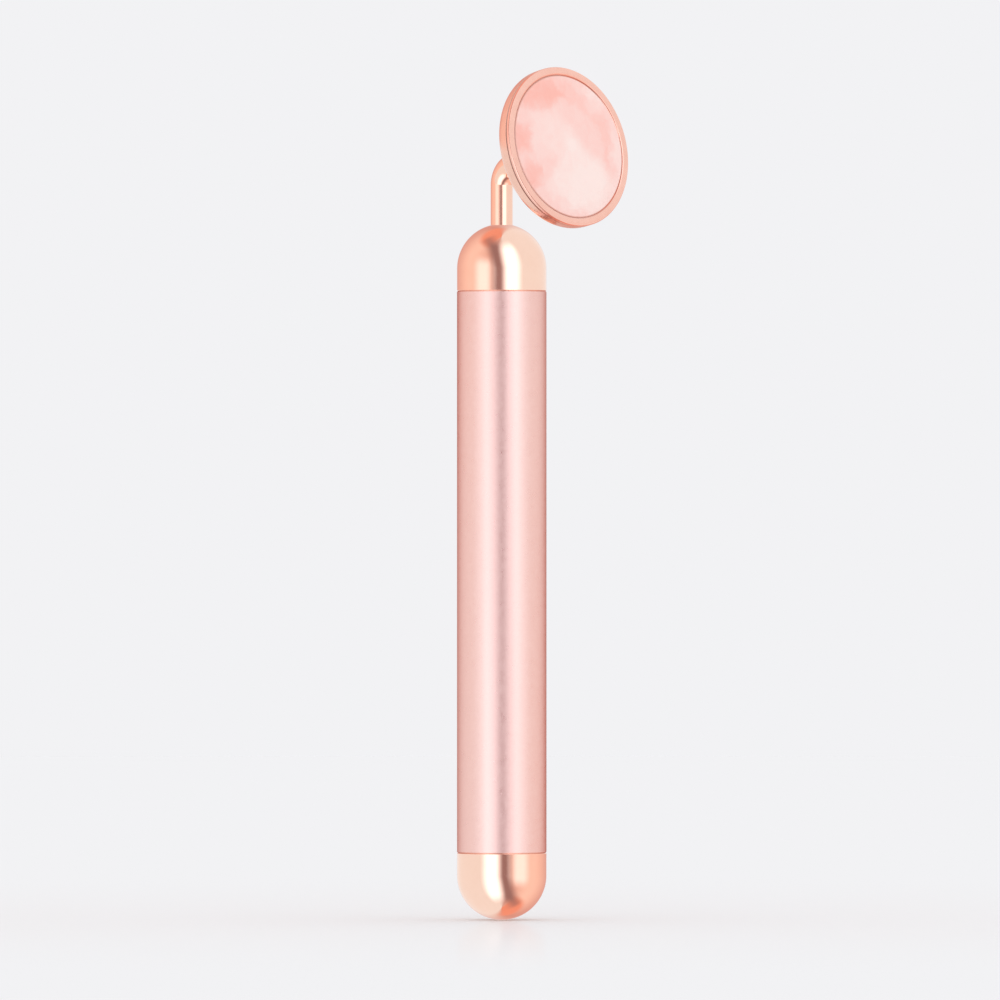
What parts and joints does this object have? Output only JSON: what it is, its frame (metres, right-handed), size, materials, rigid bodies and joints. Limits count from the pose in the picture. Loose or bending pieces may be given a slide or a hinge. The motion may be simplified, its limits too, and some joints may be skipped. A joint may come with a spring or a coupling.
{
  "type": "heated eye massager wand",
  "caption": "Slim battery wand with domed ends and a bent neck that carries a tilted round stone head, which warms and vibrates on the skin round the eyes.",
  "frame": {"origin": "on the handle's axis, midway along the straight handle tube, where the hand grips it", "axes": "+Z along the handle towards the head; -Y the way the stone head faces, leaning back 11.5 degrees; X across, the plane X=0 is the plane of symmetry"},
  "size_m": [0.0308, 0.03, 0.1616],
  "materials": {
    "rose_gold": "polished",
    "pink_anodised": "satin",
    "rose_quartz": "polished",
    "brass_part": "satin",
    "steel_part": "satin",
    "dark_steel": "satin",
    "magnet_ferrite": "matte",
    "winding_copper": "gloss",
    "heat_pad_grey": "matte",
    "heater_film_amber": "satin",
    "foam_dark": "matte",
    "sensor_bead": "gloss",
    "lead_red": "satin",
    "lead_black": "satin",
    "lead_blue": "satin",
    "frame_black": "matte",
    "end_cap_white": "satin",
    "board_green": "satin",
    "chip_black": "matte",
    "capacitor_tan": "matte",
    "boot_rubber": "matte",
    "sleeve_film": "satin",
    "cell_jacket": "gloss",
    "washer_white": "matte",
    "seal_rubber": "satin"
  },
  "bodies": {
    "handle": {"handle_tube": "pink_anodised", "top_dome": "rose_gold", "top_collar": "brass_part", "neck_tube": "rose_gold", "neck_washer": "steel_part", "neck_nut": "steel_part", "head_cup": "rose_gold", "bezel_ring": "rose_gold", "stone_disc": "rose_quartz", "heat_pad": "heat_pad_grey", "heater_film": "heater_film_amber", "foam_disc": "foam_dark", "heat_sensor": "sensor_bead", "lead_left": "lead_red", "lead_right": "lead_black", "module_frame": "frame_black", "control_board": "board_green", "driver_chip": "chip_black", "boost_coil": "chip_black", "capacitors": "capacitor_tan", "ground_clip": "brass_part", "positive_contact": "brass_part", "motor_can": "steel_part", "motor_magnets": "magnet_ferrite", "motor_bush": "brass_part", "motor_end_cap": "end_cap_white", "motor_terminals": "brass_part", "motor_boot": "boot_rubber", "motor_leads": "lead_blue", "cell_can": "cell_jacket", "cell_button": "steel_part", "cell_washer": "washer_white", "cell_sleeve": "sleeve_film"},
    "rotor": {"motor_shaft": "steel_part", "armature": "dark_steel", "windings": "winding_copper", "commutator": "winding_copper", "eccentric_weight": "brass_part"},
    "tail_contact": {"contact_plate": "steel_part", "tail_spring": "steel_part"},
    "end_cap": {"bottom_dome": "rose_gold", "cap_collar": "brass_part", "cap_seal": "seal_rubber", "plate_clip": "steel_part"}
  },
  "joints": [
    {"name": "motor_spin", "type": "hinge", "parent": "handle", "child": "rotor", "pos_m": [0, 0, 0.0331], "axis": [0, 0, 1], "continuous": true},
    {"name": "cap_travel", "type": "slide", "parent": "handle", "child": "tail_contact", "axis": [0, 0, -1], "range_m": [0, 0.003], "deforming": ["tail_spring"]},
    {"name": "cap_twist", "type": "hinge", "parent": "tail_contact", "child": "end_cap", "pos_m": [0, 0, -0.0548], "axis": [0, 0, -1], "range_deg": [0, 1080]}
  ],
  "couplings": [
    {"joint": "cap_travel", "follows": "cap_twist", "m_per_rad": 0.00015915}
  ]
}
